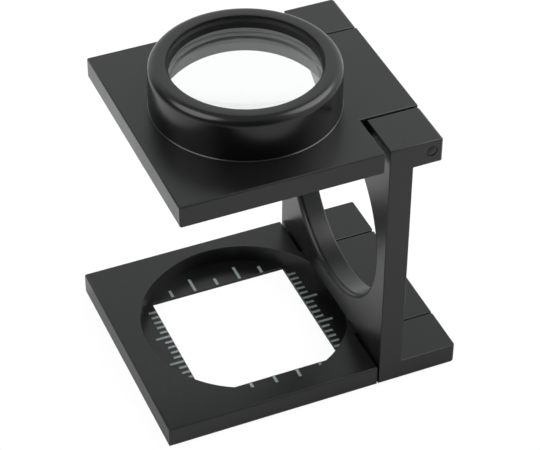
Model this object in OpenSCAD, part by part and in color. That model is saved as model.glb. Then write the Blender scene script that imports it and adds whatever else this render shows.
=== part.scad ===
// Folding loupe: a base plate with a square reading window, an upright with a round opening,
// and a lens plate that carries a round lens barrel. Both plates fold flat against the outer side
// of the upright, and the barrel then pokes through the round opening.
// Origin: middle of the base's footprint, on the table. X runs to the hinge end, Z is up.

/* [Plates] */
// Width of all three plates, along the hinge pins
plate_width = 31; // [29:0.5:40]
// Thickness of the plates and feet
plate_thickness = 3; // [2.4:0.1:4]
// Thickness of the upright between its inner and its outer face
upright_thickness = 3.1; // [2.6:0.1:4]
// How much thicker the ears are than the lens plate, on their underside
ear_excess = 0.3; // [0.1:0.05:0.6]
// Length of the base from its free edge to the hinge end
base_length = 38.9; // [36:0.1:50]
// Height of the stand to the top face of the lens plate
stand_height = 37.4; // [36:0.2:48]
// Bevel on the long edges of the plates
edge_break = 0.3; // [0.1:0.05:0.5]
// Radius of the plates' upright corners
corner_radius = 0.15; // [0.1:0.05:0.25]

/* [Hinges] */
// Width of each ear and foot of the upright
ear_width = 6.6; // [4:0.2:8]
// Gap between an ear and the lens plate's tongue beside it
lens_seam = 0.3; // [0.2:0.05:0.6]
// Gap between a foot and the base's tongue beside it
base_seam = 0.12; // [0.08:0.02:0.6]
// Gap between the lens plate's shoulder and the upright's inner face
lens_shoulder_gap = 0.65; // [0.3:0.05:1.2]
// Gap between the base's shoulder and the upright's inner face
base_shoulder_gap = 0.2; // [0.15:0.05:1.2]
// Diameter of the hinge pins
pin_diameter = 1.4; // [1:0.1:1.8]
// Radial clearance of a tongue's bore round its pin
pin_clearance = 0.04; // [0.02:0.01:0.08]
// How deep a pin goes into the ear where its bore ends
pin_grip = 4.4; // [2:0.2:5.5]
// How far a pin's outer end sits below the ear's side
pin_recess = 0.1; // [0.05:0.05:0.4]
// Bevel on both ends of a pin
pin_bevel = 0.15; // [0.1:0.05:0.3]
// Air between the turning end of the lens tongue and the upright's outer face
hinge_clearance = 0.38; // [0.2:0.01:0.8]
// Air between the two plates when both are folded
fold_gap = 0.75; // [0.2:0.05:1.2]
// Air between the folded lens plate's end and the feet
fold_end_gap = 1.4; // [0.5:0.1:4]

/* [Lens barrel] */
// Distance from the lens hinge pin to the optical axis
lens_arm = 17.05; // [16.4:0.05:18]
// Outer diameter of the barrel at its foot
barrel_diameter = 23.3; // [22.6:0.1:24]
// How much narrower the barrel's radius is at the top
barrel_taper = 0.1; // [0:0.05:0.5]
// Height of the barrel above the lens plate
barrel_height = 5.85; // [5.4:0.05:7]
// Radius of the rounding round the barrel's top
shoulder_radius = 1.1; // [0.3:0.1:1.5]
// Diameter of the eye opening in the barrel's lip
eye_opening = 18.6; // [17:0.1:19.2]
// Thickness of the lip over the lens seat
lip_thickness = 0.4; // [0.3:0.05:1.2]
// Bevel inside the lip's upper edge
lip_bevel = 0.1; // [0.05:0.05:0.25]
// Diameter of the bore that the lens sits in
lens_bore = 19.7; // [19.4:0.1:20.1]
// Wall of the sleeve that passes through the lens plate
sleeve_wall = 0.85; // [0.6:0.05:1]
// Radial clearance round the pieces inside the barrel
seat_clearance = 0.03; // [0.01:0.01:0.08]

/* [Lens and rings] */
// Radius of curvature of both faces of the lens
lens_curve = 68; // [50:1:90]
// Thickness of the lens at its rim
lens_rim = 3; // [2:0.1:3.4]
// Inner diameter of the spacer and of the retaining ring
ring_opening = 18.1; // [17.6:0.1:18.8]
// Height of the spacer between the lip and the lens
spacer_height = 1.25; // [0.8:0.05:1.6]
// Bevel inside the spacer's upper edge
spacer_bevel = 0.35; // [0.1:0.05:0.4]
// Height of the retaining ring under the lens
retainer_height = 1.3; // [0.8:0.1:1.6]
// Width of the retaining ring's two spanner slots
slot_width = 1.2; // [0.8:0.1:2]
// Depth of the spanner slots
slot_depth = 0.6; // [0.3:0.1:0.7]

/* [Upright] */
// Air all round the barrel's foot where it passes the upright
opening_margin = 1.05; // [0.8:0.05:1.3]

/* [Window and scales] */
// Side of the square reading window
window_size = 18.7; // [16:0.1:19.2]
// How far the window's middle lies from the optical axis, towards the free edge
window_offset = 0.2; // [0:0.05:0.5]
// How far the round recess lies from the window's middle, towards the far side
recess_shift = 0.15; // [0:0.05:0.3]
// Ledge left between the window's corners and the round recess
recess_margin = 0.05; // [0.05:0.05:0.4]
// Thickness of the ledge round the window
ledge_thickness = 0.5; // [0.3:0.05:1]
// Spacing of the fine marks
fine_spacing = 1; // [0.9:0.05:1.1]
// Number of fine marks on each side
fine_count = 16; // [11:1:16]
// Spacing of the coarse marks
coarse_spacing = 3.175; // [2.5:0.005:3.4]
// Number of coarse marks on each side
coarse_count = 5; // [3:2:5]
// Width of a mark
mark_width = 0.38; // [0.2:0.02:0.5]
// Thickness of the paint of a mark
mark_film = 0.05; // [0.03:0.01:0.1]
// Length of a short fine mark
fine_short = 1.1; // [0.6:0.1:1.3]
// Length of a long fine mark
fine_long = 2; // [1.4:0.1:2.4]
// Length of a short coarse mark
coarse_short = 1.3; // [0.8:0.1:1.6]
// Length of a long coarse mark
coarse_long = 2.4; // [1.8:0.1:2.8]

/* [Hidden] */
$fn = 128;
lens_facets = 512;
bore_overrun = 1;
long_mark_step = 5;
black = [0.17, 0.17, 0.18];
barrel_black = [0.1, 0.1, 0.11];
pin_grey = [0.3, 0.3, 0.32];
glass_tint = [0.8, 0.9, 0.92, 0.4];
mark_white = [0.82, 0.86, 0.85];

half_width = plate_width / 2;
half_thick = plate_thickness / 2;
pin_radius = pin_diameter / 2;

// Hinge pins: the base pin lies one plate and the fold gap further out than the lens pin
base_end = base_length / 2;
base_pin_x = base_end - half_thick;
base_pin_z = half_thick;
lens_pin_x = base_pin_x - plate_thickness - fold_gap;
lens_pin_z = stand_height - half_thick;

// The lens tongue's corner has to turn past the upright's outer face
tongue_sweep = norm([half_thick, half_thick - edge_break]);
upright_outer = lens_pin_x - tongue_sweep - hinge_clearance;
upright_inner = upright_outer - upright_thickness;

// Lens plate and what stands in line with the optical axis
lens_reach = lens_pin_z - plate_thickness - fold_end_gap;
axis_x = lens_pin_x - lens_arm;
opening_z = lens_pin_z - lens_arm;
opening_radius = barrel_diameter / 2 + opening_margin;
sleeve_radius = lens_bore / 2 + sleeve_wall;

// Stack of pieces inside the barrel, measured from the lens plate's top face
barrel_top = stand_height + barrel_height;
ring_radius = ring_opening / 2;
seat_radius = lens_bore / 2 - seat_clearance;
spacer_top = barrel_top - lip_thickness;
spacer_bottom = spacer_top - spacer_height;
lens_sag_ring = lens_curve - sqrt(pow(lens_curve, 2) - pow(ring_radius, 2));
lens_sag_rim = lens_curve - sqrt(pow(lens_curve, 2) - pow(seat_radius, 2));
lens_top = spacer_bottom + lens_sag_ring;
lens_rim_top = lens_top - lens_sag_rim;
lens_rim_bottom = lens_rim_top - lens_rim;
lens_bottom = lens_rim_bottom - lens_sag_rim;
retainer_top = lens_bottom + lens_sag_ring;

window_half = window_size / 2;
window_x = axis_x - window_offset;
recess_radius = norm([window_half, window_half + recess_shift]) + recess_margin;

// Square with its corners cut off by a bevel
module bevelled_square(low, high, bevel) {
    polygon([
        [low[0] + bevel, low[1]], [high[0] - bevel, low[1]],
        [high[0], low[1] + bevel], [high[0], high[1] - bevel],
        [high[0] - bevel, high[1]], [low[0] + bevel, high[1]],
        [low[0], high[1] - bevel], [low[0], low[1] + bevel],
    ]);
}

// Square with round corners
module rounded_square(low, high, radius) {
    translate([low[0] + radius, low[1]])
        square([high[0] - low[0] - 2 * radius, high[1] - low[1]]);
    translate([low[0], low[1] + radius])
        square([high[0] - low[0], high[1] - low[1] - 2 * radius]);
    for (x = [low[0] + radius, high[0] - radius], y = [low[1] + radius, high[1] - radius])
        translate([x, y]) circle(radius);
}

// What is left between corner low and corner high when the edges along X and Y are bevelled
module bevelled_sides(low, high) {
    size = high - low;
    intersection() {
        translate([0, high[1], 0]) rotate([90, 0, 0])
            linear_extrude(size[1])
                bevelled_square([low[0], low[2]], [high[0], high[2]], edge_break);
        translate([low[0], 0, 0]) rotate([90, 0, 90])
            linear_extrude(size[0])
                bevelled_square([low[1], low[2]], [high[1], high[2]], edge_break);
    }
}

// Block from corner low to corner high with a bevel on every edge
module bevelled_block(low, high) {
    intersection() {
        bevelled_sides(low, high);
        translate([0, 0, low[2]])
            linear_extrude(high[2] - low[2])
                bevelled_square([low[0], low[1]], [high[0], high[1]], edge_break);
    }
}

// The same block with round upright corners
module plate_block(low, high) {
    intersection() {
        bevelled_sides(low, high);
        translate([0, 0, low[2]])
            linear_extrude(high[2] - low[2])
                rounded_square([low[0], low[1]], [high[0], high[1]], corner_radius);
    }
}

// Cylinder along Y from y_low to y_high
module pin_along_y(x, z, radius, y_low, y_high) {
    translate([x, y_high, z]) rotate([90, 0, 0]) cylinder(r = radius, h = y_high - y_low);
}

// Hinge pin with bevelled ends
module hinge_pin(x, z, y_low, y_high) {
    pin_length = y_high - y_low;
    translate([x, y_high, z]) rotate([90, 0, 0]) rotate_extrude()
        polygon([
            [0, 0], [pin_radius - pin_bevel, 0], [pin_radius, pin_bevel],
            [pin_radius, pin_length - pin_bevel], [pin_radius - pin_bevel, pin_length],
            [0, pin_length],
        ]);
}

// Plate body with its hinge tongue and the tongue's bore
module tongued_plate(free_x, pin_x, pin_z, shoulder_gap, seam) {
    shoulder_x = upright_inner - shoulder_gap;
    tongue_half = half_width - ear_width - seam;
    difference() {
        union() {
            plate_block(
                [free_x, -half_width, pin_z - half_thick],
                [shoulder_x, half_width, pin_z + half_thick]);
            bevelled_block(
                [shoulder_x - plate_thickness, -tongue_half, pin_z - half_thick],
                [pin_x + half_thick, tongue_half, pin_z + half_thick]);
        }
        pin_along_y(pin_x, pin_z, pin_radius + pin_clearance,
            -tongue_half - bore_overrun, tongue_half + bore_overrun);
    }
}

module base_plate() {
    color(black)
    difference() {
        tongued_plate(-base_end, base_pin_x, base_pin_z, base_shoulder_gap, base_seam);
        translate([window_x, recess_shift, ledge_thickness])
            cylinder(r = recess_radius, h = plate_thickness);
        translate([window_x - window_half, -window_half, -bore_overrun])
            cube([window_size, window_size, plate_thickness + 2 * bore_overrun]);
    }
}

// One painted mark that starts at the window's edge and runs outward along X
module mark(length) {
    translate([window_half, -mark_width / 2, 0]) cube([length, mark_width, mark_film]);
}

// Fine marks along the window's +X edge, where the 6th and the 11th are long
module fine_row() {
    last = fine_count - 1;
    for (i = [0 : last])
        translate([0, (i - last / 2) * fine_spacing, 0])
            mark(i % long_mark_step == 0 && i > 0 && i < last ? fine_long : fine_short);
}

// Coarse marks along the window's +X edge, every second one long
module coarse_row() {
    for (i = [0 : coarse_count - 1])
        translate([0, (i - (coarse_count - 1) / 2) * coarse_spacing, 0])
            mark(i % 2 == 1 ? coarse_long : coarse_short);
}

// Puts a row of marks on the ledge, turned to one side of the window
module on_ledge(turn) {
    color(mark_white) translate([window_x, 0, ledge_thickness]) rotate([0, 0, turn]) children();
}

module fine_scale_left() {
    on_ledge(180) mirror([0, 1, 0]) fine_row();
}

module fine_scale_right() {
    on_ledge(0) fine_row();
}

module coarse_scale_far() {
    on_ledge(90) coarse_row();
}

module coarse_scale_near() {
    on_ledge(270) coarse_row();
}

// Leg of the upright on the +Y side, with its foot below and its ear above
module cheek() {
    inner_y = half_width - ear_width;
    bevelled_block([upright_inner, inner_y, 0], [upright_outer, half_width, stand_height]);
    bevelled_block([upright_inner, inner_y, 0], [base_end, half_width, plate_thickness]);
    bevelled_block(
        [upright_inner, inner_y, stand_height - plate_thickness - ear_excess],
        [lens_pin_x + half_thick, half_width, stand_height]);
}

// Round opening with its two edges bevelled
module barrel_opening() {
    translate([upright_inner, 0, opening_z]) rotate([0, 90, 0]) {
        translate([0, 0, -bore_overrun])
            cylinder(r = opening_radius, h = upright_thickness + 2 * bore_overrun);
        cylinder(r1 = opening_radius + edge_break, r2 = opening_radius, h = edge_break);
        translate([0, 0, upright_thickness - edge_break])
            cylinder(r1 = opening_radius, r2 = opening_radius + edge_break, h = edge_break);
    }
}

module upright() {
    color(black)
    difference() {
        union() {
            bevelled_block(
                [upright_inner, -half_width, plate_thickness],
                [upright_outer, half_width, stand_height - plate_thickness]);
            cheek();
            mirror([0, 1, 0]) cheek();
        }
        barrel_opening();
        pin_along_y(lens_pin_x, lens_pin_z, pin_radius,
            -half_width - bore_overrun, half_width - ear_width + pin_grip);
        pin_along_y(base_pin_x, base_pin_z, pin_radius,
            -(half_width - ear_width + pin_grip), half_width + bore_overrun);
    }
}

// Driven in from the far side, ends inside the near foot
module base_hinge_pin() {
    color(pin_grey)
    hinge_pin(base_pin_x, base_pin_z,
        -(half_width - ear_width + pin_grip), half_width - pin_recess);
}

// Driven in from the near side, ends inside the far ear
module lens_hinge_pin() {
    color(pin_grey)
    hinge_pin(lens_pin_x, lens_pin_z,
        -half_width + pin_recess, half_width - ear_width + pin_grip);
}

module lens_plate() {
    color(black)
    difference() {
        tongued_plate(
            lens_pin_x - lens_reach, lens_pin_x, lens_pin_z, lens_shoulder_gap, lens_seam);
        translate([axis_x, 0, stand_height - plate_thickness - bore_overrun])
            cylinder(r = sleeve_radius, h = plate_thickness + 2 * bore_overrun);
    }
}

// Turned barrel: a flange that stands on the plate and a sleeve that passes through it
module lens_barrel() {
    foot = barrel_diameter / 2;
    crown = foot - barrel_taper;
    eye = eye_opening / 2;
    bore = lens_bore / 2;
    color(barrel_black)
    translate([axis_x, 0, 0]) rotate_extrude() {
        polygon([
            [bore, stand_height - plate_thickness], [sleeve_radius, stand_height - plate_thickness],
            [sleeve_radius, stand_height], [foot, stand_height],
            [crown, barrel_top - shoulder_radius], [crown - shoulder_radius, barrel_top],
            [eye + lip_bevel, barrel_top], [eye, barrel_top - lip_bevel],
            [eye, spacer_top], [bore, spacer_top],
        ]);
        translate([crown - shoulder_radius, barrel_top - shoulder_radius])
            intersection() {
                circle(shoulder_radius);
                square(shoulder_radius);
            }
    }
}

// Spacer between the lip and the lens, bevelled towards the eye
module spacer_ring() {
    color(barrel_black)
    translate([axis_x, 0, 0]) rotate_extrude()
        polygon([
            [ring_radius, spacer_bottom], [seat_radius, spacer_bottom],
            [seat_radius, spacer_top], [ring_radius + spacer_bevel, spacer_top],
            [ring_radius, spacer_top - spacer_bevel],
        ]);
}

// Lens with two equal convex faces and a ground cylindrical rim
module lens() {
    color(glass_tint)
    translate([axis_x, 0, 0]) rotate_extrude()
        intersection() {
            translate([0, lens_bottom]) square([seat_radius, lens_top - lens_bottom]);
            translate([0, lens_top - lens_curve]) circle(lens_curve, $fn = lens_facets);
            translate([0, lens_bottom + lens_curve]) circle(lens_curve, $fn = lens_facets);
        }
}

// Ring screwed up against the lens from below, with two slots for a pin spanner
module retaining_ring() {
    color(barrel_black)
    difference() {
        translate([axis_x, 0, retainer_top - retainer_height]) rotate_extrude()
            translate([ring_radius, 0]) square([seat_radius - ring_radius, retainer_height]);
        for (turn = [0, 180])
            translate([axis_x, 0, retainer_top - retainer_height - bore_overrun]) rotate([0, 0, turn])
                translate([ring_radius - bore_overrun, -slot_width / 2, 0])
                    cube([seat_radius - ring_radius + 2 * bore_overrun, slot_width,
                        slot_depth + bore_overrun]);
    }
}

base_plate();
fine_scale_left();
fine_scale_right();
coarse_scale_far();
coarse_scale_near();
upright();
base_hinge_pin();
lens_hinge_pin();
lens_plate();
lens_barrel();
spacer_ring();
lens();
retaining_ring();
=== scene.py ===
# %% [markdown]
# # A folding loupe, dressed for its portrait
#
# The object is a small stand magnifier of the kind used for reading scales, print and cloth.
# Three black enamelled plates are joined by two hinges, and the upper plate carries a turned
# barrel with a lens. The CAD model gives every size and both hinges. This notebook rebuilds each
# piece with rounded edges and turned profiles, gives it a finish, and lights it like a product
# photograph. All lengths are in metres, and X runs towards the hinges.

# %% Load the CAD model as a fixed frame
import math

import bmesh
import bpy
from mathutils import Euler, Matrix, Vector


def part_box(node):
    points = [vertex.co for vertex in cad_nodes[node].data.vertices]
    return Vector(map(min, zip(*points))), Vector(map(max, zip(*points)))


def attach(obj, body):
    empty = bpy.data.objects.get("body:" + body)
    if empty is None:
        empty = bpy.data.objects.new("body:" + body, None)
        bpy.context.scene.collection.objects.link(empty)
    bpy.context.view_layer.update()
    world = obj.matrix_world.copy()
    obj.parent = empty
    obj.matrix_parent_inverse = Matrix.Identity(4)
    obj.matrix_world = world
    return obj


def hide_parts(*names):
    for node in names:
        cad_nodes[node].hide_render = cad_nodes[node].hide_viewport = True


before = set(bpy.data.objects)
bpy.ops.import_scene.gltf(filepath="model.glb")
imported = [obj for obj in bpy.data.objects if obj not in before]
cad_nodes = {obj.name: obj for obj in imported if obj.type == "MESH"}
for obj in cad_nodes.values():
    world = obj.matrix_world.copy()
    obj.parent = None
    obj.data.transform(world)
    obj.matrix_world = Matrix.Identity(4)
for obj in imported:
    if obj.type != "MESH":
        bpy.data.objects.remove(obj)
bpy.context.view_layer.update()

# %% [markdown]
# ## Sizes
#
# Each CAD node tells its own box, so most places come from there and follow the CAD. The few
# sizes that a box can't tell, such as the width of a hinge tongue or the radius of the round
# recess, are written once here.

# %% Sizes that the boxes give
MM = 0.001
base_low, base_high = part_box("base_plate")
upright_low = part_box("upright")[0]
lens_plate_low, lens_plate_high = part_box("lens_plate")
barrel_low, barrel_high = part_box("lens_barrel")
spacer_low, spacer_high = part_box("spacer_ring")
glass_low, glass_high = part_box("lens")
retainer_low, retainer_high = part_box("retaining_ring")
optical_axis_x = (barrel_low.x + barrel_high.x) / 2
plate_thickness = base_high.z - base_low.z
half_width = base_high.y
print("optical axis at x =", round(optical_axis_x / MM, 3), "mm")

# %% Sizes that the boxes can't tell
upright_thickness = 3.1 * MM
lens_shoulder_x = 8.149 * MM
base_shoulder_x = 8.599 * MM
lens_tongue_sides = (-8.6 * MM, 8.75 * MM)
base_tongue_sides = (-8.78 * MM, 8.78 * MM)
ear_inner_y = 8.9 * MM
ear_excess = 0.3 * MM
recess_radius = 13.38 * MM
recess_shift = 0.15 * MM
ledge_thickness = 0.5 * MM
window_half = 9.35 * MM
window_offset = 0.2 * MM
window_x = optical_axis_x - window_offset
opening_radius = 12.7 * MM
opening_z = 18.85 * MM
sleeve_radius = 10.7 * MM
lens_bore_radius = 9.85 * MM
eye_radius = 9.3 * MM
lip_thickness = 0.4 * MM
crown_radius = 11.55 * MM
shoulder_radius = 1.1 * MM
ring_opening_radius = 9.05 * MM
lens_curve = 68 * MM
print("recess", recess_radius / MM, "mm, window", 2 * window_half / MM, "mm square")

# %% Radii of the rounded edges
under_radius = 0.42 * MM
outer_end_radius = 0.6 * MM
plate_edge_radius = 0.22 * MM
edge_radius = 0.2 * MM
corner_radius = 0.15 * MM
hair = 0.01 * MM
print("edge radii:", corner_radius / MM, "to", outer_end_radius / MM, "mm")

# %% [markdown]
# ## Small tools for modelling
#
# Everything below is made the way it would be by hand: add a primitive, go into edit mode, pick
# faces or edges by where they are, and extrude, bisect or bevel them. An operator acts on all
# that is selected, so each tool first clears the selection and leaves edit mode. A face is
# taken to face a direction when its normal has more than FACING of it.


# %% Selecting
def deselect_everything():
    if bpy.context.mode != "OBJECT":
        bpy.ops.object.mode_set(mode="OBJECT")
    bpy.ops.object.select_all(action="DESELECT")


def make_active(piece):
    deselect_everything()
    piece.select_set(True)
    bpy.context.view_layer.objects.active = piece


def open_mesh(piece):
    make_active(piece)
    bpy.ops.object.mode_set(mode="EDIT")
    bpy.ops.mesh.select_all(action="SELECT")


def pick_faces(piece, wanted):
    """In edit mode, leaves only the faces selected for which wanted(centre, normal) is true."""
    bpy.context.tool_settings.mesh_select_mode = (False, False, True)
    bpy.ops.mesh.select_all(action="DESELECT")
    mesh = bmesh.from_edit_mesh(piece.data)
    for face in mesh.faces:
        face.select_set(bool(wanted(face.calc_center_median(), face.normal)))
    bmesh.update_edit_mesh(piece.data)
    return sum(face.select for face in mesh.faces)


def pick_edges(piece, wanted):
    """In edit mode, leaves only the sharp edges selected for which wanted(a, b) is true."""
    bpy.context.tool_settings.mesh_select_mode = (False, True, False)
    bpy.ops.mesh.select_all(action="DESELECT")
    mesh = bmesh.from_edit_mesh(piece.data)
    sharp_angle = math.radians(30)
    for edge in mesh.edges:
        sharp = len(edge.link_faces) == 2 and edge.calc_face_angle() > sharp_angle
        edge.select_set(bool(sharp and wanted(edge.verts[0].co, edge.verts[1].co)))
    bmesh.update_edit_mesh(piece.data)
    return sum(edge.select for edge in mesh.edges)


# %% Shaping
FACING = 0.9


def apply_place():
    """Puts the active piece's place, turn and size into its mesh."""
    bpy.ops.object.transform_apply(location=True, rotation=True, scale=True)


def use_modifier(piece, kind, **settings):
    """Gives a piece a modifier and applies it at once."""
    make_active(piece)
    bpy.ops.object.modifier_add(type=kind)
    modifier = piece.modifiers[-1]
    for key, value in settings.items():
        setattr(modifier, key, value)
    bpy.ops.object.modifier_apply(modifier=modifier.name)


def block(name, low, high):
    """A box between two corners, with its place in its mesh."""
    deselect_everything()
    low, high = Vector(low), Vector(high)
    bpy.ops.mesh.primitive_cube_add(size=1, location=(low + high) / 2)
    piece = bpy.context.active_object
    piece.name = name
    bpy.ops.transform.resize(value=high - low)
    apply_place()
    return piece


def cut_across(point, normal):
    """Bisects the whole open mesh by a plane."""
    bpy.ops.mesh.select_all(action="SELECT")
    bpy.ops.mesh.bisect(plane_co=point, plane_no=normal)


def pull_faces(piece, wanted, move):
    """Extrudes the picked faces by a vector."""
    pick_faces(piece, wanted)
    bpy.ops.mesh.extrude_region_move(TRANSFORM_OT_translate={"value": Vector(move)})


# %% Rounding edges
def round_picked_edges(piece, wanted, radius, segments):
    count = pick_edges(piece, wanted)
    bpy.ops.mesh.bevel(
        offset=radius, offset_type="OFFSET", segments=segments, profile=0.5, affect="EDGES"
    )
    return count


def weigh_edges(piece, wanted, share):
    """Gives the picked edges a share of the full rounding."""
    count = pick_edges(piece, wanted)
    mesh = bmesh.from_edit_mesh(piece.data)
    weights = mesh.edges.layers.float.get("bevel_weight_edge")
    if weights is None:
        weights = mesh.edges.layers.float.new("bevel_weight_edge")
    for edge in mesh.edges:
        if edge.select:
            edge[weights] = share
    bmesh.update_edit_mesh(piece.data)
    return count


def round_weighed_edges(piece, radius, segments):
    """Rounds all weighed edges in one go, so that large and small radii meet in clean corners."""
    use_modifier(piece, "BEVEL", limit_method="WEIGHT", width=radius, segments=segments)


def close_to(value, target, slack=1e-6):
    return abs(value - target) < slack


# %% Cutting and finishing
def carve(piece, cutter):
    """Takes the cutter's shape out of the piece and removes the cutter."""
    use_modifier(piece, "BOOLEAN", operation="DIFFERENCE", solver="EXACT", object=cutter)
    bpy.data.objects.remove(cutter)


def drill(name, centre, radius, depth, turned_to=(0, 0, 0), sides=160):
    """A round cutter with its place in its mesh."""
    deselect_everything()
    bpy.ops.mesh.primitive_cylinder_add(
        vertices=sides, radius=radius, depth=depth, location=centre, rotation=turned_to
    )
    cutter = bpy.context.active_object
    cutter.name = name
    apply_place()
    return cutter


def finish_shape(piece, smooth_below=40):
    """Smooth shading that keeps the large flat faces flat."""
    make_active(piece)
    bpy.ops.object.shade_smooth_by_angle(angle=math.radians(smooth_below))
    large_faces_lead = 100
    use_modifier(piece, "WEIGHTED_NORMAL", keep_sharp=True, weight=large_faces_lead)
    print(piece.name, "faces:", len(piece.data.polygons))
    return piece


# %% [markdown]
# ## The three plates
#
# The base and the lens plate are the same kind of piece: a 3 mm plate with a tongue at the
# hinge end. A cube is bisected where the tongue's sides are, and the middle face of that end is
# extruded to make the tongue. One Bevel modifier then rounds all edges, each by its own weight.
# Most get a small radius. The lower edges that the photograph shows soft get the full one: on
# the base the two along its sides, on the lens plate the one across its free end. The rounding
# is in the mesh and not only in the shading, because the thin bright lines along the edges make
# black enamel look like enamel.


# %% Plate with a hinge tongue
def tongued_plate(name, low, high, shoulder_x, tongue_sides, soft_under):
    """soft_under(a, b) tells which of the lower edges are rounded more than the rest."""
    plate = block(name, low, (shoulder_x, high.y, high.z))
    open_mesh(plate)
    for side in tongue_sides:
        cut_across((0, side, 0), (0, 1, 0))
    pull_faces(
        plate,
        lambda centre, normal: normal.x > FACING and tongue_sides[0] < centre.y < tongue_sides[1],
        (high.x - shoulder_x, 0, 0),
    )

    def stands(a, b):
        return close_to(a.x, b.x) and close_to(a.y, b.y)

    def at_corner(a, b):
        return stands(a, b) and close_to(abs(a.y), half_width)

    def at_hinge(a, b):
        beyond = min(a.x, b.x) > shoulder_x - hair
        return beyond and not (stands(a, b) and close_to(a.x, shoulder_x))

    def along_plate(a, b):
        return not stands(a, b) and not at_hinge(a, b)

    def under_plate(a, b):
        return along_plate(a, b) and close_to(a.z, low.z) and soft_under(a, b)

    corners = weigh_edges(plate, at_corner, corner_radius / under_radius)
    hinge_edges = weigh_edges(plate, at_hinge, edge_radius / under_radius)
    long_edges = weigh_edges(plate, along_plate, plate_edge_radius / under_radius)
    weigh_edges(plate, under_plate, 1.0)
    round_weighed_edges(plate, under_radius, segments=6)
    print(name, "corners:", corners, "hinge edges:", hinge_edges, "long edges:", long_edges)
    return plate


# %% [markdown]
# ### Base plate
#
# The base has a square reading window in the floor of a round recess. The recess is drilled
# almost through the plate, which leaves a thin ledge round the window for the scales. The far
# side of the recess's rim is worn soft and the near side is crisp, so the rim is taken in small
# steps, and each step gets its own share of the rounding.

# %% Base plate
base_plate = tongued_plate(
    "loupe_base_plate",
    base_low,
    base_high,
    base_shoulder_x,
    base_tongue_sides,
    soft_under=lambda a, b: close_to(a.y, b.y),
)
recess_cutter = drill(
    "recess_cutter",
    (window_x, recess_shift, ledge_thickness + plate_thickness),
    recess_radius,
    2 * plate_thickness,
)
carve(base_plate, recess_cutter)
window_cutter = block(
    "window_cutter",
    (window_x - window_half, -window_half, -plate_thickness),
    (window_x + window_half, window_half, plate_thickness),
)
carve(base_plate, window_cutter)

# %% Softened rim of the recess
rim_steps = 36
rim_half_step = math.pi / rim_steps
rim_turn = math.radians(20)
rim_softness = 0.65 * MM
rim_slack = 0.05 * MM
least_share, middle_share, share_swing = 0.12, 0.2, 0.8


def on_rim_near(turn):
    """A test for the rim edges within half a step of a direction, seen from the recess's axis."""

    def wanted(a, b):
        middle = (a + b) / 2
        from_axis = Vector((middle.x - window_x, middle.y - recess_shift))
        on_top = close_to(middle.z, base_high.z)
        on_rim = close_to(from_axis.length, recess_radius, rim_slack)
        apart = math.remainder(math.atan2(from_axis.y, from_axis.x) - turn, 2 * math.pi)
        return on_top and on_rim and abs(apart) < rim_half_step

    return wanted


open_mesh(base_plate)
rim_edges = 0
for step in range(rim_steps):
    turn = 2 * rim_half_step * step
    rim_share = max(least_share, middle_share + share_swing * math.sin(turn - rim_turn))
    rim_edges += weigh_edges(base_plate, on_rim_near(turn), rim_share)
round_weighed_edges(base_plate, rim_softness, segments=5)
finish_shape(base_plate)
print("recess rim edges rounded:", rim_edges)

# %% [markdown]
# ### Lens plate
#
# The lens plate has no recess, only a round hole in which the barrel's sleeve sits. The cutter
# is three times as long as the plate is thick, because a boolean is unsure about faces that lie
# exactly on each other.

# %% Lens plate
lens_plate = tongued_plate(
    "loupe_lens_plate",
    lens_plate_low,
    lens_plate_high,
    lens_shoulder_x,
    lens_tongue_sides,
    soft_under=lambda a, b: close_to(a.x, b.x),
)
sleeve_cutter = drill(
    "sleeve_cutter",
    (optical_axis_x, 0, (lens_plate_low.z + lens_plate_high.z) / 2),
    sleeve_radius,
    3 * plate_thickness,
)
carve(lens_plate, sleeve_cutter)
finish_shape(lens_plate)

# %% [markdown]
# ### Upright
#
# The upright is one casting: a slab with a large round opening, two ears that hold the lens
# hinge and two feet that hold the base hinge. It starts as the slab between the two plates.
# Bisecting it where the ears begin gives faces that can be pulled up, down and outwards. This
# leaves lines across flat faces, at which the Bevel modifier would stop, so they are dissolved
# first. The outer ends of ears and feet and the lower edges along the feet are rounded more
# than the rest. Then the opening and two pin bores are drilled, each bore open on one side.

# %% Upright
slab_low = Vector((upright_low.x, -half_width, plate_thickness))
slab_high = Vector((upright_low.x + upright_thickness, half_width, lens_plate_low.z))
upright = block("loupe_upright", slab_low, slab_high)
open_mesh(upright)
for side in (-1, 1):
    cut_across((0, side * ear_inner_y, 0), (0, 1, 0))
ear_under = slab_high.z - ear_excess
cut_across((0, 0, ear_under), (0, 0, 1))


def beside(centre):
    return abs(centre.y) > ear_inner_y


ear_rise = (0, 0, plate_thickness)
foot_drop = (0, 0, -plate_thickness)
ear_reach = (lens_plate_high.x - slab_high.x, 0, 0)
foot_reach = (base_high.x - slab_high.x, 0, 0)
pull_faces(upright, lambda c, n: n.z > FACING and beside(c), ear_rise)
pull_faces(upright, lambda c, n: n.z < -FACING and beside(c), foot_drop)
pull_faces(upright, lambda c, n: n.x > FACING and c.z > ear_under and beside(c), ear_reach)
pull_faces(upright, lambda c, n: n.x > FACING and c.z < slab_low.z, foot_reach)
reaches = [round(reach[0] / MM, 2) for reach in (ear_reach, foot_reach)]
print("the ears and the feet reach out by", reaches, "mm")


# %% Rounded edges of the upright
def at_outer_end(a, b):
    ends = (lens_plate_high.x, base_high.x)
    at_end = any(close_to(a.x, end) and close_to(b.x, end) for end in ends)
    inner_levels = (ear_under, plate_thickness)
    inner = any(close_to(a.z, level) and close_to(b.z, level) for level in inner_levels)
    return at_end and not inner


def along_under_foot(a, b):
    return close_to(a.y, b.y) and max(a.z, b.z) < plate_thickness / 2


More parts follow.
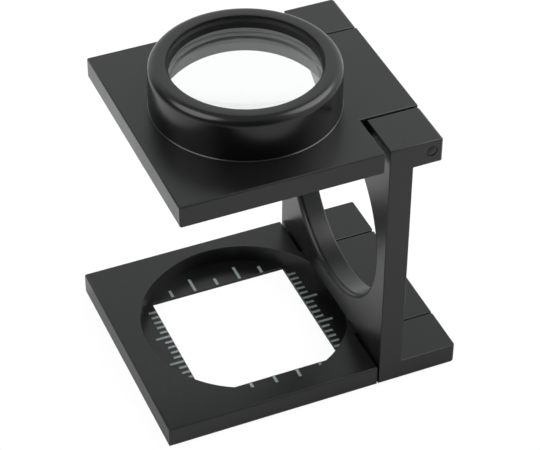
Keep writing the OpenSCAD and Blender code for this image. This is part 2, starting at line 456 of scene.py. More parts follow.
bpy.ops.mesh.select_all(action="SELECT")
bpy.ops.mesh.dissolve_limited(angle_limit=math.radians(1))
upright_edges = weigh_edges(upright, lambda a, b: True, edge_radius / outer_end_radius)
weigh_edges(upright, along_under_foot, 1.0)
outer_edges = weigh_edges(upright, at_outer_end, 1.0)
round_weighed_edges(upright, outer_end_radius, segments=6)
print("upright edges rounded:", upright_edges, "of them at the outer ends:", outer_edges)

# %% Round opening in the upright
quarter_turn = math.pi / 2
opening_softness = 0.7 * MM
opening_cutter = drill(
    "opening_cutter",
    ((slab_low.x + slab_high.x) / 2, 0, opening_z),
    opening_radius,
    3 * upright_thickness,
    turned_to=(0, quarter_turn, 0),
)
carve(upright, opening_cutter)
open_mesh(upright)
opening_edges = 0
for face_x, softness in ((slab_low.x, opening_softness), (slab_high.x, edge_radius)):
    opening_edges += round_picked_edges(
        upright,
        lambda a, b: close_to(a.x, face_x)
        and close_to(b.x, face_x)
        and close_to(math.hypot(a.y, a.z - opening_z), opening_radius, rim_slack),
        softness,
        segments=5,
    )
print("opening edges rounded:", opening_edges)

# %% Pin bores in the upright
bore_overrun = 1 * MM
small_round_sides = 48
for node, open_side in (("lens_hinge_pin", -1), ("base_hinge_pin", 1)):
    pin_low, pin_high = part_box(node)
    bore_depth = pin_high.y - pin_low.y + bore_overrun
    bore_middle = (pin_low + pin_high) / 2 + Vector((0, open_side * bore_overrun / 2, 0))
    bore_radius = (pin_high.x - pin_low.x) / 2 + hair
    bore_turn = (quarter_turn, 0, 0)
    carve(
        upright,
        drill("bore_cutter", bore_middle, bore_radius, bore_depth, bore_turn, small_round_sides),
    )
finish_shape(upright)

# %% [markdown]
# ## Turned pieces
#
# The barrel, the rings, the lens and the pins are turned, so each is one section spun once
# round its axis. The section starts as a circle primitive with as many points as it needs, and
# they are put where the drawing has them. Spinning a closed section gives a closed solid. Where
# the section touches the axis, its points meet in a pole, so doubles are merged with a limit
# far below the smallest feature.

# %% Spin a section
turning_steps = 192
axis_limit = 1e-9
merge_limit = 1e-6


def arc_points(centre, radius, start_deg, end_deg, count):
    """Points of an arc in (radius, height), both ends included."""
    points = []
    for i in range(count):
        angle = math.radians(start_deg + (end_deg - start_deg) * i / (count - 1))
        points.append(
            (centre[0] + radius * math.cos(angle), centre[1] + radius * math.sin(angle))
        )
    return points


def turned_piece(name, section, steps=turning_steps, axis_x=optical_axis_x):
    """Spins a section of (radius, height) points once round an upright axis."""
    deselect_everything()
    bpy.ops.mesh.primitive_circle_add(vertices=len(section), radius=MM, fill_type="NOTHING")
    piece = bpy.context.active_object
    piece.name = name
    for vertex, (radius, height) in zip(piece.data.vertices, section):
        vertex.co = (radius, 0, height)
    open_mesh(piece)
    touches_axis = any(radius < axis_limit for radius, height in section)
    if touches_axis:
        bpy.context.tool_settings.mesh_select_mode = (False, True, False)
        bpy.ops.mesh.select_all(action="DESELECT")
        mesh = bmesh.from_edit_mesh(piece.data)
        for edge in mesh.edges:
            edge.select_set(all(abs(v.co.x) < axis_limit for v in edge.verts))
        bmesh.update_edit_mesh(piece.data)
        bpy.ops.mesh.delete(type="EDGE")
        bpy.ops.mesh.select_all(action="SELECT")
    bpy.ops.mesh.spin(
        steps=steps, angle=2 * math.pi, center=(0, 0, 0), axis=(0, 0, 1), use_auto_merge=True
    )
    bpy.ops.mesh.select_all(action="SELECT")
    bpy.ops.mesh.remove_doubles(threshold=merge_limit)
    bpy.ops.mesh.normals_make_consistent(inside=False)
    bpy.ops.object.mode_set(mode="OBJECT")
    piece.location = (axis_x, 0, 0)
    apply_place()
    return piece


# %% [markdown]
# ### Lens barrel
#
# One turning: a flange that stands on the lens plate, a rounded shoulder, a flat top with the
# eye opening, and a sleeve that goes down through the plate and holds the lens.

# %% Lens barrel
foot_radius = (barrel_high.x - barrel_low.x) / 2
barrel_top = barrel_high.z
flange_z = lens_plate_high.z
shoulder_centre = (crown_radius - shoulder_radius, barrel_top - shoulder_radius)
foot_bead = foot_radius - crown_radius
bead_ledge = 0.02 * MM
bead_slope = 0.8
rim_rounding = 0.08 * MM
barrel_section = [
    (lens_bore_radius, barrel_low.z),
    (sleeve_radius, barrel_low.z),
    (sleeve_radius, flange_z),
    (foot_radius, flange_z),
    (foot_radius, flange_z + bead_ledge),
    (crown_radius, flange_z + bead_ledge + bead_slope * foot_bead),
]
barrel_section += arc_points(shoulder_centre, shoulder_radius, 0, 90, count=12)
barrel_section += arc_points(
    (eye_radius + rim_rounding, barrel_top - rim_rounding), rim_rounding, 90, 180, count=6
)
barrel_section += [
    (eye_radius, barrel_top - lip_thickness),
    (lens_bore_radius, barrel_top - lip_thickness),
]
lens_barrel = turned_piece("loupe_lens_barrel", barrel_section)
finish_shape(lens_barrel)

# %% [markdown]
# ### Spacer, retaining ring and lens
#
# A spacer stands between the lip and the lens, and a ring screwed in from below keeps the lens
# against it. The lens is a real convex solid with smooth faces, so it bends light by itself and
# nothing of the view through it is faked.

# %% Spacer ring
spacer_bevel = 0.35 * MM
spacer_outer = (spacer_high.x - spacer_low.x) / 2
spacer_section = [
    (ring_opening_radius, spacer_low.z),
    (spacer_outer, spacer_low.z),
    (spacer_outer, spacer_high.z),
    (ring_opening_radius + spacer_bevel, spacer_high.z),
    (ring_opening_radius, spacer_high.z - spacer_bevel),
]
spacer_ring = turned_piece("loupe_spacer_ring", spacer_section)
finish_shape(spacer_ring, smooth_below=30)

# %% Retaining ring with its two spanner slots
retainer_outer = (retainer_high.x - retainer_low.x) / 2
retainer_edge = 0.12 * MM
slot_width = 1.2 * MM
slot_depth = 0.6 * MM
retainer_section = [
    (ring_opening_radius + retainer_edge, retainer_low.z),
    (retainer_outer - retainer_edge, retainer_low.z),
    (retainer_outer, retainer_low.z + retainer_edge),
    (retainer_outer, retainer_high.z),
    (ring_opening_radius, retainer_high.z),
    (ring_opening_radius, retainer_low.z + retainer_edge),
]
retaining_ring = turned_piece("loupe_retaining_ring", retainer_section)
slot_cutter = block(
    "slot_cutter",
    (optical_axis_x - 2 * retainer_outer, -slot_width / 2, retainer_low.z - slot_depth),
    (optical_axis_x + 2 * retainer_outer, slot_width / 2, retainer_low.z + slot_depth),
)
carve(retaining_ring, slot_cutter)
finish_shape(retaining_ring, smooth_below=30)

# %% Lens
glass_radius = (glass_high.x - glass_low.x) / 2
glass_half_angle = math.degrees(math.asin(glass_radius / lens_curve))
glass_points = 28
glass_section = arc_points(
    (0, glass_high.z - lens_curve), lens_curve, 90, 90 - glass_half_angle, glass_points
)
glass_section += arc_points(
    (0, glass_low.z + lens_curve), lens_curve, -90 + glass_half_angle, -90, glass_points
)
for end in (0, -1):
    glass_section[end] = (0, glass_section[end][1])
lens = turned_piece("loupe_lens", glass_section)
finish_shape(lens, smooth_below=30)

# %% [markdown]
# ### Hinge pins
#
# Each pin is driven in from one side and ends blind inside the other. Only its end shows, as a
# faint ring in the side of an ear, so it comes up to a hair below the surface there and has a
# narrow chamfer.

# %% Hinge pins
pin_fill = Vector((0, 0.07 * MM, 0))
pin_chamfer = 0.03 * MM


def hinge_pin(name, node, open_side):
    """A pin along Y, brought up to just below the surface on its open side."""
    low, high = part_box(node)
    if open_side < 0:
        low = low - pin_fill
    else:
        high = high + pin_fill
    radius = (high.x - low.x) / 2
    length = high.y - low.y
    section = [(0, 0), (radius - pin_chamfer, 0), (radius, pin_chamfer)]
    section += [(radius, length - pin_chamfer), (radius - pin_chamfer, length), (0, length)]
    pin = turned_piece(name, section, steps=small_round_sides, axis_x=0)
    pin.rotation_euler = Euler((-quarter_turn, 0, 0))
    pin.location = ((low.x + high.x) / 2, low.y, (low.z + high.z) / 2)
    make_active(pin)
    apply_place()
    return finish_shape(pin, smooth_below=50)


base_hinge_pin = hinge_pin("loupe_base_hinge_pin", "base_hinge_pin", open_side=1)
lens_hinge_pin = hinge_pin("loupe_lens_hinge_pin", "lens_hinge_pin", open_side=-1)

# %% [markdown]
# ## Finishes
#
# Black is never one flat colour. Enamel on a casting has a faint unevenness from the metal
# below, a fine grain from the spray, a gloss that changes a little from place to place, paint
# that thins on the edges, and some dust where it faces up. Several materials share those
# effects, so each is a node group with inputs, and each material sets its own values. All
# patterns read Object coordinates. The pieces sit at the origin, so that is their own frame,
# in metres: a noise scale of 1000 has details of about one millimetre.


# %% Tools for node trees
def new_node(tree, kind, place, **settings):
    node = tree.nodes.new(kind)
    node.location = place
    for key, value in settings.items():
        setattr(node, key, value)
    return node


def feed(target, value):
    """Gives an input a value, or a link where the value is an output socket."""
    if isinstance(value, bpy.types.NodeSocket):
        target.id_data.links.new(value, target)
    else:
        target.default_value = value


def set_inputs(node, **values):
    for key, value in values.items():
        feed(node.inputs[key.replace("_", " ")], value)
    return node


def feed_in_order(node, *values):
    for target, value in zip(node.inputs, values):
        feed(target, value)
    return node


# %% Often used nodes, each given back as its output socket
def object_place(tree, place):
    return new_node(tree, "ShaderNodeTexCoord", place).outputs["Object"]


def noise(tree, place, coordinates, **values):
    node = new_node(tree, "ShaderNodeTexNoise", place)
    return set_inputs(node, Vector=coordinates, **values).outputs["Fac"]


def calculate(tree, place, operation, first, second, **settings):
    node = new_node(tree, "ShaderNodeMath", place, operation=operation, **settings)
    return feed_in_order(node, first, second).outputs["Value"]


def dot_product(tree, place, first, second):
    node = new_node(tree, "ShaderNodeVectorMath", place, operation="DOT_PRODUCT")
    return feed_in_order(node, first, second).outputs["Value"]


def map_range(tree, place, value, given, result=(0.0, 1.0), **settings):
    """Takes the first number of given to the first of result, and the second to the second."""
    node = new_node(tree, "ShaderNodeMapRange", place, **settings)
    set_inputs(node, Value=value, From_Min=given[0], From_Max=given[1])
    return set_inputs(node, To_Min=result[0], To_Max=result[1]).outputs["Result"]


def height_of(tree, place, vector):
    parts = new_node(tree, "ShaderNodeSeparateXYZ", place)
    return set_inputs(parts, Vector=vector).outputs["Z"]


def mix_colours(tree, place, factor, below, above):
    """Puts colour above over colour below where factor is 1. Each is a socket or a colour."""
    node = new_node(tree, "ShaderNodeMix", place, data_type="RGBA")
    set_inputs(node, Factor=factor)
    colour_inputs = [socket for socket in node.inputs if socket.type == "RGBA"]
    for socket, value in zip(colour_inputs, (below, above)):
        feed(socket, value)
    return next(socket for socket in node.outputs if socket.type == "RGBA")


# %% Making a node group
def new_group(name, inputs, outputs):
    """A shader group with float inputs, given with their defaults, and float outputs."""
    group = bpy.data.node_groups.new(name, "ShaderNodeTree")
    for socket_name, value in inputs.items():
        socket = group.interface.new_socket(
            name=socket_name, in_out="INPUT", socket_type="NodeSocketFloat"
        )
        socket.default_value = value
    for socket_name in outputs:
        group.interface.new_socket(
            name=socket_name, in_out="OUTPUT", socket_type="NodeSocketFloat"
        )
    source = new_node(group, "NodeGroupInput", (-900, 0))
    result = new_node(group, "NodeGroupOutput", (700, 0))
    print("group", name, "takes", list(inputs), "and gives", outputs)
    return group, source.outputs, result


# %% Group: the skin of a sprayed coat
skin_group, skin_in, skin_out = new_group(
    "coat_skin",
    {"Wave Scale": 220.0, "Grain Scale": 5200.0, "Grain Share": 0.25},
    ["Height", "Gloss Change"],
)
cloud_edge = (0.3, 0.7)
skin_place = object_place(skin_group, (-900, 300))
waves = noise(skin_group, (-600, 300), skin_place, Scale=skin_in["Wave Scale"], Detail=2.0)
grain = noise(skin_group, (-600, 0), skin_place, Scale=skin_in["Grain Scale"], Detail=3.0)
clouds = noise(skin_group, (-600, -300), skin_place, Scale=90.0, Detail=4.0)
grain_part = calculate(skin_group, (-300, 0), "MULTIPLY", grain, skin_in["Grain Share"])
set_inputs(
    skin_out,
    Height=calculate(skin_group, (0, 200), "ADD", waves, grain_part),
    Gloss_Change=map_range(skin_group, (0, -200), clouds, cloud_edge),
)

# %% Group: paint thinned along the edges
edge_group, edge_in, edge_out = new_group(
    "edge_thinning", {"Reach": 0.2 * MM, "Patch Scale": 900.0, "Amount": 0.5}, ["Mask"]
)
bent_normals = (1.0, 0.93)
patch_edge = (0.42, 0.62)
own_normal = new_node(edge_group, "ShaderNodeNewGeometry", (-700, 200)).outputs["Normal"]
edge_finder = new_node(edge_group, "ShaderNodeBevel", (-700, -100), samples=6)
rounded_normal = set_inputs(edge_finder, Radius=edge_in["Reach"]).outputs["Normal"]
agreement = dot_product(edge_group, (-450, 100), own_normal, rounded_normal)
edge_mask = map_range(edge_group, (-200, 100), agreement, bent_normals)
patch_place = object_place(edge_group, (-900, -400))
patches = noise(
    edge_group, (-450, -300), patch_place, Scale=edge_in["Patch Scale"], Detail=5.0
)
patch_mask = map_range(edge_group, (-200, -300), patches, patch_edge)
worn_edge = calculate(edge_group, (50, 0), "MULTIPLY", edge_mask, patch_mask)
worn_amount = calculate(edge_group, (250, 0), "MULTIPLY", worn_edge, edge_in["Amount"])
set_inputs(edge_out, Mask=worn_amount)

# %% Group: dust on what faces up
dust_group, dust_in, dust_out = new_group(
    "settled_dust", {"Speck Scale": 1500.0, "Amount": 0.5}, ["Mask"]
)
speck_edge = (0.16, 0.08)
drift_edge = (0.45, 0.75)
slope_edge = (0.6, 0.95)
dust_place = object_place(dust_group, (-900, 300))
specks = new_node(dust_group, "ShaderNodeTexVoronoi", (-600, 300), feature="F1")
set_inputs(specks, Vector=dust_place, Scale=dust_in["Speck Scale"], Randomness=1.0)
speck_dots = map_range(dust_group, (-350, 300), specks.outputs["Distance"], speck_edge)
drifts = noise(dust_group, (-600, 0), dust_place, Scale=130.0, Detail=5.0)
drift_mask = map_range(dust_group, (-350, 0), drifts, drift_edge)
dusty_specks = calculate(dust_group, (-100, 200), "MULTIPLY", speck_dots, drift_mask)
dust_normal = new_node(dust_group, "ShaderNodeNewGeometry", (-600, -300)).outputs["Normal"]
facing_up = height_of(dust_group, (-350, -300), dust_normal)
upward = map_range(dust_group, (-100, -300), facing_up, slope_edge)
settled = calculate(dust_group, (150, 0), "MULTIPLY", dusty_specks, upward)
dust_amount = calculate(dust_group, (350, 0), "MULTIPLY", settled, dust_in["Amount"])
set_inputs(dust_out, Mask=dust_amount)


# %% Making a material
def empty_tree(owner):
    owner.use_nodes = True
    owner.node_tree.nodes.clear()
    return owner.node_tree


def new_material(name):
    """A material with only a Principled shader. Gives back the material and the shader."""
    material = bpy.data.materials.new(name)
    tree = empty_tree(material)
    surface = new_node(tree, "ShaderNodeOutputMaterial", (900, 0))
    shader = new_node(tree, "ShaderNodeBsdfPrincipled", (600, 0))
    set_inputs(surface, Surface=shader.outputs["BSDF"])
    return material, shader


def use_group(tree, group, place, **values):
    node = new_node(tree, "ShaderNodeGroup", place, node_tree=group)
    return set_inputs(node, **values).outputs


# %% Building a coated material
dust_colour = (0.22, 0.21, 0.2, 1)
dust_dulling = 0.3


def coated_material(
    name,
    colour,
    cloud_colour,
    thin_colour,
    roughness_range,
    wave_height,
    grain_share=0.25,
    wave_scale=220.0,
    grain_scale=5200.0,
    thinning=0.5,
    dust=0.25,
    **shader_values,
):
    """A coat with clouds, thin edges and dust. Other values go on the shader's own sockets."""
    material, shader = new_material(name)
    tree = material.node_tree
    skin = use_group(
        tree,
        skin_group,
        (-600, -200),
        Wave_Scale=wave_scale,
        Grain_Scale=grain_scale,
        Grain_Share=grain_share,
    )
    gloss_change = skin["Gloss Change"]
    edges = use_group(tree, edge_group, (-600, 100), Amount=thinning)["Mask"]
    dusty = use_group(tree, dust_group, (-600, 350), Amount=dust)["Mask"]
    clouded = mix_colours(tree, (-300, 300), gloss_change, colour, cloud_colour)
    thinned = mix_colours(tree, (-50, 300), edges, clouded, thin_colour)
    dusted = mix_colours(tree, (200, 300), dusty, thinned, dust_colour)
    gloss = map_range(tree, (-50, -100), gloss_change, (0.0, 1.0), roughness_range)
    dulled = calculate(tree, (-50, -300), "MULTIPLY", dusty, dust_dulling)
    roughness = calculate(tree, (200, -100), "ADD", gloss, dulled, use_clamp=True)
    relief = new_node(tree, "ShaderNodeBump", (300, -350))
    set_inputs(relief, Strength=1.0, Distance=wave_height, Height=skin["Height"])
    set_inputs(shader, Base_Color=dusted, Roughness=roughness, Normal=relief.outputs["Normal"])
    set_inputs(shader, **shader_values)
    print("coat", name, "with roughness", roughness_range)
    return material


# %% [markdown]
# ### Black enamel on the castings
#
# The plates and the upright are cast and enamelled in a satin black. The colour itself is close
# to nothing: almost all that shows is the reflection of the pale floor and room, so the coat's
# roughness sets its look. It is blurred, but clear enough for a soft image of what is close by.

# %% Black enamel
black_enamel = coated_material(
    "black_enamel",
    colour=(0.0048, 0.005, 0.0049, 1),
    cloud_colour=(0.006, 0.0062, 0.006, 1),
    thin_colour=(0.014, 0.014, 0.0135, 1),
    roughness_range=(0.27, 0.33),
    wave_height=0.006 * MM,
    grain_share=0.12,
    IOR=1.5,
)

# %% [markdown]
# ### Barrel black
#
# The turned barrel is glossier, with faint rings of its turning under the coat. The rings are a
# wave pattern round the optical axis, which a Mapping node puts at the centre of the piece.

# %% Barrel black
barrel_black = coated_material(
    "barrel_black",
    colour=(0.0034, 0.0035, 0.0036, 1),
    cloud_colour=(0.0043, 0.0044, 0.0045, 1),
    thin_colour=(0.01, 0.01, 0.01, 1),
    roughness_range=(0.21, 0.26),
    wave_height=0.003 * MM,
    grain_share=0.15,
    thinning=0.25,
    dust=0.05,
    IOR=1.5,
)

# %% Rings of the turning under the barrel's coat
barrel_tree = barrel_black.node_tree
barrel_shader = barrel_tree.nodes["Principled BSDF"]
turning_centre = set_inputs(
    new_node(barrel_tree, "ShaderNodeMapping", (-700, -600)),
    Vector=object_place(barrel_tree, (-900, -600)),
    Location=(-optical_axis_x, 0, 0),
)
turning_rings = new_node(
    barrel_tree,
    "ShaderNodeTexWave",
    (-450, -600),
    wave_type="RINGS",
    rings_direction="SPHERICAL",
)
set_inputs(turning_rings, Vector=turning_centre.outputs["Vector"])
set_inputs(turning_rings, Scale=900.0, Distortion=0.6, Detail=2.0)
turning_relief = set_inputs(
    new_node(barrel_tree, "ShaderNodeBump", (400, -600)),
    Strength=1.0,
    Distance=0.0002 * MM,
    Height=turning_rings.outputs["Fac"],
    Normal=barrel_shader.inputs["Normal"].links[0].from_socket,
)
set_inputs(barrel_shader, Normal=turning_relief.outputs["Normal"])
print("barrel rings round x =", round(optical_axis_x / MM, 2), "mm")

# %% [markdown]
# ### Inside the barrel
#
# Above the lens everything is a dead matt black, so that no stray light gets to the eye. Under
# the lens the bore and its ring get a lighter grey colour, which is painted light: it stands in
# for the light from the sheet below, so they show through the glass as a grey band beyond the
# white.

# %% Matt black above the lens
matt_black = coated_material(
    "matt_black",
    colour=(0.003, 0.003, 0.003, 1),
    cloud_colour=(0.0045, 0.0045, 0.0045, 1),
    thin_colour=(0.012, 0.012, 0.012, 1),
    roughness_range=(0.55, 0.65),
    wave_height=0.004 * MM,
    grain_share=0.6,
    thinning=0.3,
    dust=0.1,
    IOR=1.36,
)

# %% Grey of the bore below the lens, with painted light from the sheet below
# Painted light: this colour is made lighter to stand in for the light that the sheet below throws
# into the bore.
bore_painted_light_grey = coated_material(
    "bore_painted_light_grey",
    colour=(0.045, 0.046, 0.046, 1),
    cloud_colour=(0.058, 0.059, 0.058, 1),
    thin_colour=(0.07, 0.07, 0.068, 1),
    roughness_range=(0.42, 0.5),
    wave_height=0.004 * MM,
    grain_share=0.6,
    thinning=0.2,
    dust=0.2,
    IOR=1.5,
)

# %% [markdown]
# ### Pins, paint and glass
#
# The pins are steel, blackened until they are hardly brighter than the enamel round them. The
# marks of the scales are a pale paint, thin enough to be uneven, so its patches are large for
# such small marks. The glass bends light by its own shape and index, and its only pattern is a
# trace of smudges in its gloss. Its rim is ground, not polished, and that is the lighter band
# that shows through the far side of the lens. The face of the retaining ring on which the lens
# lies has the same finish.

# %% Pin steel, blackened
pin_steel = coated_material(
    "pin_steel",
    colour=(0.01, 0.01, 0.01, 1),
    cloud_colour=(0.014, 0.014, 0.0135, 1),
    thin_colour=(0.03, 0.03, 0.029, 1),
    roughness_range=(0.3, 0.36),
    wave_height=0.004 * MM,
    grain_share=0.6,
    grain_scale=9000.0,
    thinning=0.6,
    dust=0.2,
    Metallic=0.3,
)

# %% Mark paint
mark_paint = coated_material(
    "mark_paint",
    colour=(0.22, 0.27, 0.265, 1),
    cloud_colour=(0.3, 0.35, 0.345, 1),
    thin_colour=(0.14, 0.175, 0.175, 1),
    roughness_range=(0.5, 0.7),
    wave_height=0.01 * MM,
    grain_share=0.8,
    wave_scale=1500.0,
    grain_scale=7000.0,
    thinning=0.6,
    dust=0.2,
)

# %% Lens glass
lens_glass, glass_shader = new_material("lens_glass")
glass_tree = lens_glass.node_tree
smudge_place = object_place(glass_tree, (-700, 0))
smudges = noise(glass_tree, (-450, 0), smudge_place, Scale=160.0, Detail=4.0)
clean_tint = (0.945, 0.96, 0.955, 1)
smudged_tint = (0.925, 0.945, 0.94, 1)
smudge_edge, smudge_roughness = (0.5, 0.8), (0.0, 0.035)
set_inputs(
    glass_shader,
    Base_Color=mix_colours(glass_tree, (0, 250), smudges, clean_tint, smudged_tint),
    Roughness=map_range(glass_tree, (-150, 0), smudges, smudge_edge, smudge_roughness),
    IOR=1.52,
    Transmission_Weight=1.0,
)
print("lens glass nodes:", len(glass_tree.nodes))

# %% Ground rim of the lens
ground_rim = coated_material(
    "lens_rim_ground",
    colour=(0.36, 0.365, 0.36, 1),
    cloud_colour=(0.42, 0.425, 0.42, 1),
    thin_colour=(0.42, 0.42, 0.415, 1),
    roughness_range=(0.75, 0.9),
    wave_height=0.004 * MM,
    grain_share=0.9,
    thinning=0.1,
    dust=0.0,
)


# %% Put each finish on its pieces
def dress(piece, material):
    piece.data.materials.clear()
    piece.data.materials.append(material)


scale_nodes = ["fine_scale_left", "fine_scale_right", "coarse_scale_far", "coarse_scale_near"]
finishes = [
    (black_enamel, [base_plate, lens_plate, upright]),
    (barrel_black, [lens_barrel]),
    (matt_black, [spacer_ring]),
    (bore_painted_light_grey, [retaining_ring]),
    (pin_steel, [base_hinge_pin, lens_hinge_pin]),
    (mark_paint, [cad_nodes[node_name] for node_name in scale_nodes]),
    (lens_glass, [lens]),
]
for finish, pieces in finishes:
    for piece in pieces:
        dress(piece, finish)
    print(finish.name, "on", len(pieces), "pieces")


# %% Second finishes on parts of a piece
def dress_faces(piece, material, wanted):
    """Gives the faces for which wanted(centre, normal) is true a further material."""
    piece.data.materials.append(material)
    open_mesh(piece)
    count = pick_faces(piece, wanted)
    piece.active_material_index = len(piece.data.materials) - 1
    bpy.ops.object.material_slot_assign()
    bpy.ops.object.mode_set(mode="OBJECT")
    print(material.name, "on", count, "faces of", piece.name)


def in_lens_bore(centre):
    return math.hypot(centre.x - optical_axis_x, centre.y) < lens_bore_radius + 2 * hair


def on_lens_rim(centre, normal):
    return abs(normal.z) < 1 - FACING


def above_lens(centre, normal):
    return in_lens_bore(centre) and centre.z > spacer_low.z


def below_lens(centre, normal):
    return in_lens_bore(centre) and centre.z < spacer_low.z


def faces_lens(centre, normal):
    return normal.z > FACING


dress_faces(lens, ground_rim, on_lens_rim)
dress_faces(lens_barrel, matt_black, above_lens)
# The bore below the lens gets the grey with painted light in it.
dress_faces(lens_barrel, bore_painted_light_grey, below_lens)
dress_faces(retaining_ring, ground_rim, faces_lens)

# %% [markdown]
# ## Tie the pieces to the CAD
#
# Every new piece stands for one CAD node, hides that node and rides on its body, so the hinges
# move the dressed pieces as they move the solids.

# %% Bodies, replaced nodes and finish names
dressed = [
    (base_plate, "base_plate", "base", "black_enamel"),
    (upright, "upright", "stand", "black_enamel"),
    (base_hinge_pin, "base_hinge_pin", "stand", "pin_steel"),
    (lens_hinge_pin, "lens_hinge_pin", "stand", "pin_steel"),
    (lens_plate, "lens_plate", "lens_arm", "black_enamel"),
    (lens_barrel, "lens_barrel", "lens_arm", "barrel_black"),
    (spacer_ring, "spacer_ring", "lens_arm", "barrel_black"),
    (lens, "lens", "lens_arm", "lens_glass"),
    (retaining_ring, "retaining_ring", "lens_arm", "barrel_black"),
]
for piece, node_name, body, slot_name in dressed:
    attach(piece, body)
    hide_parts(node_name)
print("dressed pieces:", len(dressed), "CAD nodes kept:", len(scale_nodes))

# %% [markdown]
# ## Studio
#
# The photograph is a white cut-out. To the light the floor is a pale sheet with light and shade
# painted into its colour: painted shade makes it darker in front of the loupe than behind it,
# painted light makes it a little brighter again near the camera, and painted shade dims it far
# to the left. That is what the enamel's faces mirror. To the camera, and through the lens, it is
# clear glass with a faint grey film: the white room shows through, the film keeps the shadow, and
# a folded loupe, whose upright swings below the base, can still be seen. The room is a pale
# backdrop behind and to the right with a faint glow overhead, and two round soft lamps stand at
# the sides. They give the barrel's shoulder two soft highlights with a darker band between them.


# %% More tools for the studio
def heading(turn, rise=0.0):
    """A direction that is turned clockwise from +Y, seen from above, and then raised."""
    level = math.cos(rise)
    return Vector((math.sin(turn) * level, math.cos(turn) * level, math.sin(rise)))


def mix_shaders(tree, place, factor, below, above):
    node = new_node(tree, "ShaderNodeMixShader", place)
    return feed_in_order(node, factor, below, above).outputs["Shader"]


def seen_by_camera(tree, place):
    """1 for rays that come to the camera, also through glass, and 0 for all other light."""
    rays = new_node(tree, "ShaderNodeLightPath", place).outputs
    beside_rays = (place[0] + 250, place[1])
    direct, through_glass = rays["Is Camera Ray"], rays["Is Transmission Ray"]
    return calculate(tree, beside_rays, "MAXIMUM", direct, through_glass)


# %% Floor
floor_radius = 3.0
floor_drop = 0.02 * MM
deselect_everything()
bpy.ops.mesh.primitive_circle_add(vertices=96, radius=floor_radius, fill_type="NGON")
floor = bpy.context.active_object
floor.name = "studio_floor"
bpy.ops.transform.translate(value=(0, 0, -floor_drop))
apply_place()
floor_material = bpy.data.materials.new("studio_floor_white")
floor_tree = empty_tree(floor_material)
print("floor radius:", floor_radius, "m")

# %% Painted light and shade over the floor: where they change, and how
soft = {"interpolation_type": "SMOOTHSTEP"}
depth_levels = (-18 * MM, 15 * MM), (0.58, 1.0)
front_levels = (-22 * MM, -55 * MM), (0.0, 0.14)
left_levels = (-160 * MM, -50 * MM), (0.35, 1.0)
camera_heading = math.radians(23.453)
back_and_left = heading(-camera_heading)
right_and_back = heading(quarter_turn - camera_heading)
floor_place = object_place(floor_tree, (-900, 200))
floor_depth = dot_product(floor_tree, (-700, 200), floor_place, back_and_left)
floor_side = dot_product(floor_tree, (-700, 0), floor_place, right_and_back)
# Painted shade and light in the floor's colour: darker in front of the loupe than behind it, a
# painted light a little further in front, and painted shade far to the left.
painted_depth_shade = map_range(floor_tree, (-500, 300), floor_depth, *depth_levels)
painted_front_light = map_range(floor_tree, (-500, 550), floor_depth, *front_levels)
painted_left_shade = map_range(floor_tree, (-500, 0), floor_side, *left_levels, **soft)
depth_level = calculate(floor_tree, (-350, 400), "ADD", painted_depth_shade, painted_front_light)
painted_floor_level = calculate(floor_tree, (-350, 200), "MULTIPLY", depth_level, painted_left_shade)
print("floor levels from front to back:", depth_levels[1])

# %% A pale sheet with painted light and shade to the light, clear glass to the camera
film_grey, clear_grey = (0.11, 0.11, 0.11, 1), (0.92, 0.92, 0.92, 1)
floor_white = new_node(floor_tree, "ShaderNodeCombineColor", (-200, 200))
feed_in_order(floor_white, painted_floor_level, painted_floor_level, painted_floor_level)
floor_sheet = new_node(floor_tree, "ShaderNodeBsdfDiffuse", (0, 200))
set_inputs(floor_sheet, Color=floor_white.outputs["Color"])
floor_film = new_node(floor_tree, "ShaderNodeBsdfDiffuse", (0, 0))
set_inputs(floor_film, Color=film_grey)
floor_clear = new_node(floor_tree, "ShaderNodeBsdfTransparent", (0, -200))
set_inputs(floor_clear, Color=clear_grey)
floor_seen = new_node(floor_tree, "ShaderNodeAddShader", (250, -100))
feed_in_order(floor_seen, floor_film.outputs["BSDF"], floor_clear.outputs["BSDF"])
floor_mix = mix_shaders(
    floor_tree,
    (480, 0),
    seen_by_camera(floor_tree, (-300, 700)),
    floor_sheet.outputs["BSDF"],
    floor_seen.outputs["Shader"],
)
set_inputs(new_node(floor_tree, "ShaderNodeOutputMaterial", (700, 0)), Surface=floor_mix)
dress(floor, floor_material)
print("floor nodes:", len(floor_tree.nodes))

# %% Room
towards_backdrop = heading(camera_heading + math.radians(36))
world = bpy.data.worlds.new("white_backdrop_room")
bpy.context.scene.world = world
room = empty_tree(world)
backdrop_side, backdrop_top = (-0.45, 0.25), (0.84, 0.66)
room_levels = (0.0, 1.0), (0.09, 1.0)
ceiling_levels = (0.7, 0.9), (0.0, 0.32)
cool_white, plain_white = (0.97, 0.985, 1, 1), (1, 1, 1, 1)
direction = new_node(room, "ShaderNodeTexCoord", (-900, 0)).outputs["Generated"]
elevation = height_of(room, (-650, -200), direction)
facing_backdrop = dot_product(room, (-650, 100), direction, towards_backdrop)
behind = map_range(room, (-400, 100), facing_backdrop, backdrop_side, **soft)
below_edge = map_range(room, (-400, -200), elevation, backdrop_top, **soft)
backdrop = calculate(room, (-150, 0), "MULTIPLY", behind, below_edge)
brightness = map_range(room, (100, 0), backdrop, *room_levels)
ceiling = map_range(room, (100, -300), elevation, *ceiling_levels, **soft)
all_round = calculate(room, (300, -200), "ADD", brightness, ceiling)
room_light = new_node(room, "ShaderNodeBackground", (400, -100))
set_inputs(room_light, Color=cool_white, Strength=all_round)
room_seen = new_node(room, "ShaderNodeBackground", (400, 200))
set_inputs(room_seen, Color=plain_white, Strength=1.0)
room_mix = mix_shaders(
    room,
    (650, 0),
    seen_by_camera(room, (100, 400)),
    room_light.outputs["Background"],
    room_seen.outputs["Background"],
)
set_inputs(new_node(room, "ShaderNodeOutputWorld", (900, 0)), Surface=room_mix)
print("room levels:", room_levels[1], "ceiling:", ceiling_levels[1])

# %% Round soft lamps
lamp_target = Vector((0, 0, 20 * MM))


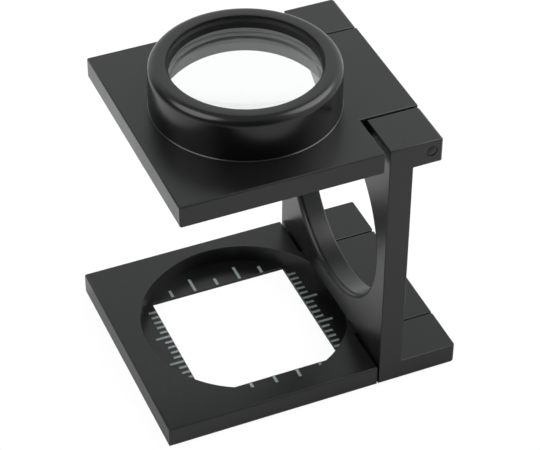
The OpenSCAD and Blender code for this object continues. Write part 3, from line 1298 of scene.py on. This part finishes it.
def round_lamp(name, azimuth_deg, elevation_deg, diameter, power, distance=0.6):
    """A disk of light that faces the object. Azimuth 0 is on the camera's side, along -Y."""
    away = heading(math.pi - math.radians(azimuth_deg), math.radians(elevation_deg))
    data = bpy.data.lights.new(name, "AREA")
    data.shape = "DISK"
    data.size = diameter
    data.energy = power
    lamp = bpy.data.objects.new(name, data)
    bpy.context.scene.collection.objects.link(lamp)
    lamp.location = lamp_target + away * distance
    lamp.rotation_euler = (-away).to_track_quat("-Z", "Y").to_euler()
    print(name, power, "W at", [round(value, 3) for value in lamp.location])


camera_azimuth = -23.45
left_lamp_turn = camera_azimuth - 65
right_lamp_turn = camera_azimuth + 102
round_lamp("round_lamp_left", left_lamp_turn, elevation_deg=42, diameter=0.52, power=2.2)
round_lamp("round_lamp_right", right_lamp_turn, elevation_deg=46, diameter=0.5, power=2.0)

# %% [markdown]
# ## Camera
#
# The photograph was measured against the model's edges: it was taken from 28 cm, 23.5 degrees
# to the left of the front, looking 40.3 degrees down. The picture's middle is a little off the
# camera's axis, and the shift makes up for that.

# %% Camera
PHOTO_WIDTH, PHOTO_HEIGHT = 540, 450
focal_pixels = 2129.2
principal_point = (273.15, 225.835)
camera_place = Vector((-80.083, -186.532, 189.26)) * MM
camera_down = math.radians(40.306)
camera_roll = math.radians(0.43)
camera_data = bpy.data.cameras.new("photo_camera")
camera_data.sensor_width = 36.0
camera_data.lens = focal_pixels * camera_data.sensor_width / PHOTO_WIDTH
camera_data.shift_x = (PHOTO_WIDTH / 2 - principal_point[0]) / PHOTO_WIDTH
camera_data.shift_y = (principal_point[1] - PHOTO_HEIGHT / 2) / PHOTO_WIDTH
camera_data.clip_start = 0.01
camera_data.clip_end = 20
camera = bpy.data.objects.new("photo_camera", camera_data)
bpy.context.scene.collection.objects.link(camera)
camera.location = camera_place
looking = heading(camera_heading, -camera_down)
upright_turn = looking.to_track_quat("-Z", "Y").to_matrix()
roll_turn = Euler((0, 0, camera_roll)).to_matrix()
camera.rotation_euler = (upright_turn @ roll_turn).to_euler()
bpy.context.scene.camera = camera
bpy.context.scene.view_settings.view_transform = "Standard"
print("lens:", round(camera_data.lens, 2), "mm, shift:", round(camera_data.shift_x, 5))

# %% [markdown]
# ## The end
#
# The view layer is brought up to date and nothing is left selected.

# %% The end
bpy.context.view_layer.update()
deselect_everything()
